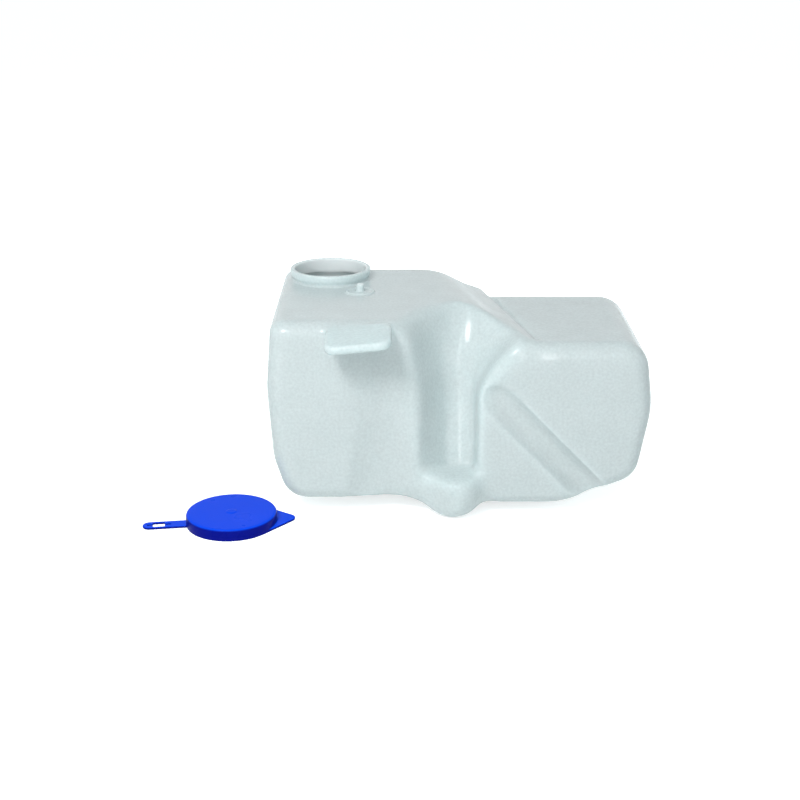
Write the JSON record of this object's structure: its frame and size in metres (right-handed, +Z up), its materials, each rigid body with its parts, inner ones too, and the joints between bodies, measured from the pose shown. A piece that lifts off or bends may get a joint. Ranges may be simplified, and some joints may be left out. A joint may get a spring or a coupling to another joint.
{
  "type": "windscreen washer fluid reservoir",
  "caption": "Blow-moulded translucent plastic tank with an open filler neck, a pump bay, a rounded sump and a side tab, and its snap cap with strap lying beside it.",
  "frame": {"origin": "middle of the flat foot under the sump", "axes": "+Z up along the filler neck, +X along the tank's length to the low side, +Y to the back"},
  "size_m": [0.3775, 0.2089, 0.161],
  "materials": {
    "tank_plastic": "translucent natural polyethylene, satin with a fine grain",
    "cap_plastic": "injection moulded, semi-gloss blue"
  },
  "bodies": {
    "root": {"reservoir": "tank_plastic", "cap": "cap_plastic"}
  },
  "joints": []
}
